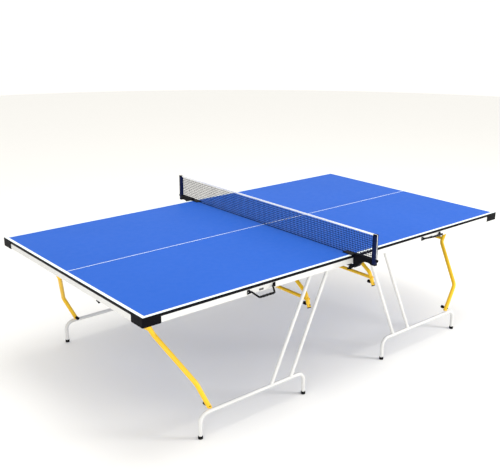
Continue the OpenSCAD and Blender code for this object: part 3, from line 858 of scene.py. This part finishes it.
def rubber_feet():
    """Ribbed rubber caps over the ends of the white foot tubes."""
    for half, side in QUADRANTS:
        node = f"{half}_{side}_feet"
        low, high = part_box(node)
        radius = (high.y - low.y) / 2
        tall = high.z - low.z
        bm = bmesh.new()
        profile = [
            (0, 0.0012), (radius * 0.45, 0.0010), (radius * 0.62, 0), (radius * 0.84, 0),
            (radius * 0.95, 0.0008), (radius, 0.0026), (radius, 0.0050),
        ]
        for k in range(2):
            base = 0.0064 + 0.0040 * k
            profile += [(radius * 0.93, base), (radius * 0.93, base + 0.0010)]
            profile += [(radius * 0.995, base + 0.0018), (radius * 0.995, base + 0.0028)]
        profile += [
            (radius * 0.97, tall - 0.0024), (radius * 0.95, tall - 0.0007), (radius * 0.91, tall),
            (FOOT_TUBE_RADIUS + 0.0001, tall - 0.0003), (FOOT_TUBE_RADIUS + 0.0001, 0.008), (0, 0.008),
        ]
        for x in (low.x + radius, high.x - radius):
            place = Matrix.Translation((x, (low.y + high.y) / 2, 0))
            add_lathe(bm, profile, place, sides=40)
        body = f"{half}_{side}_leg_frame"
        feet = add_piece(f"{half}_{side}_rubber_feet", bm, body, FINISHES["rubber"], 50, True)
        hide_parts(node)


def fillet_path(points, bend):
    """The same path with its inner corners rounded."""
    steps = 8
    made = [points[0]]
    for before, corner, after in zip(points, points[1:], points[2:]):
        into = (corner - before).normalized()
        out = (after - corner).normalized()
        turn = into.angle(out)
        back = bend * math.tan(turn / 2)
        start = corner - into * back
        normal = into.cross(out).normalized()
        inward = normal.cross(into)
        centre = start + inward * bend
        for i in range(steps + 1):
            made.append(centre + Matrix.Rotation(turn * i / steps, 3, normal) @ (start - centre))
    made.append(points[-1])
    return made


def handles():
    """Carrying handles: a bent wire with a grip that is ribbed for the fingers."""
    wire = 0.005
    grip_half = 0.044
    outline = [(-0.084, 0), (-0.070, 0), (-0.050, -0.044), (0.050, -0.044), (0.070, 0), (0.084, 0)]
    for half, side in QUADRANTS:
        joint = JOINTS[f"{half}_{side}_handle_swing"]
        pivot = Vector(joint["pos_m"])
        out_angle = math.radians(-joint["range_deg"][0])
        out = Vector((0, SIGNS[side] * math.sin(out_angle), -math.cos(out_angle)))
        points = [pivot + Vector((x, 0, 0)) - out * drop for x, drop in outline]
        bm = bmesh.new()
        add_sweep(bm, fillet_path(points, 0.008), wire, sides=16)
        rings = []
        count = 66
        for i in range(count + 1):
            x = grip_half * (2 * i / count - 1)
            edge = min(1.0, (grip_half - abs(x)) / 0.004)
            swell = 0.0063 + 0.0005 * math.cos(x * 2 * math.pi / 0.022)
            radius = 0.0051 + (swell - 0.0051) * math.sin(edge * math.pi / 2)
            centre = pivot + out * 0.044 + Vector((x, 0, 0))
            rings.append(circle(centre, out, Vector((1, 0, 0)).cross(out), radius, 20))
        add_rings(bm, rings)
        body = f"{half}_{side}_handle_bail"
        grip = add_piece(f"{half}_{side}_carry_handle", bm, body, FINISHES["black_gloss"], 50)
        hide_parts(f"{half}_{side}_handle")


# ---------- studio ----------


def studio_floor():
    mesh = bpy.data.meshes.new("studio_floor")
    bm = bmesh.new()
    bmesh.ops.create_circle(bm, cap_ends=True, radius=14, segments=64)
    bm.to_mesh(mesh)
    bm.free()
    finish = Finish("studio_paper", (0.885, 0.880, 0.862), 0.9)
    finish.vary_roughness(3, 0.85, 0.95)
    mesh.materials.append(finish.material)
    floor = bpy.data.objects.new("studio_floor", mesh)
    bpy.context.scene.collection.objects.link(floor)


def area_light(name, at, size, power):
    """Round soft light aimed at the middle of the table's height."""
    target = Vector((0, 0, 0.5))
    light = bpy.data.lights.new(name, "AREA")
    light.shape = "DISK"
    light.size = size
    light.energy = power
    lamp = bpy.data.objects.new(name, light)
    lamp.location = at
    lamp.rotation_mode = "QUATERNION"
    lamp.rotation_quaternion = (target - Vector(at)).to_track_quat("-Z", "Y")
    bpy.context.scene.collection.objects.link(lamp)


def studio():
    scene = bpy.context.scene
    scene.view_settings.view_transform = "Standard"
    world = bpy.data.worlds.new("studio_world")
    world.use_nodes = True
    backdrop = world.node_tree.nodes["Background"]
    backdrop.inputs["Color"].default_value = (1, 0.985, 0.95, 1)
    backdrop.inputs["Strength"].default_value = 1.055
    scene.world = world
    area_light("overhead", (0.0, 0.0, 5.5), 3.5, 90)
    area_light("side_key", (3.5, -4.5, 2.5), 1.6, 180)
    area_light("front_fill", (-4.6, -3.8, 1.1), 2.0, 90)


def camera():
    azimuth = math.radians(-39.854)
    elevation = math.radians(17.568)
    roll = math.radians(0.182)
    back = Vector((
        math.sin(azimuth) * math.cos(elevation),
        -math.cos(azimuth) * math.cos(elevation),
        math.sin(elevation),
    ))
    data = bpy.data.cameras.new("camera")
    data.sensor_width = 36
    data.lens = 53.86
    made = bpy.data.objects.new("camera", data)
    made.location = (-2.9495, -3.3922, 2.1009)
    made.rotation_mode = "QUATERNION"
    made.rotation_quaternion = (-back).to_track_quat("-Z", "Y") @ Quaternion((0, 0, 1), roll)
    bpy.context.scene.collection.objects.link(made)
    bpy.context.scene.camera = made


camera()
studio()
studio_floor()
tension_cord()
dress_frame()
court_lines()
net_mesh()
net_loops()
net_tape()
post_caps()
clamp_details()
clamp_knobs()
table_screws()
leg_welds()
frame_welds()
strut_rivets()
rubber_feet()
handles()
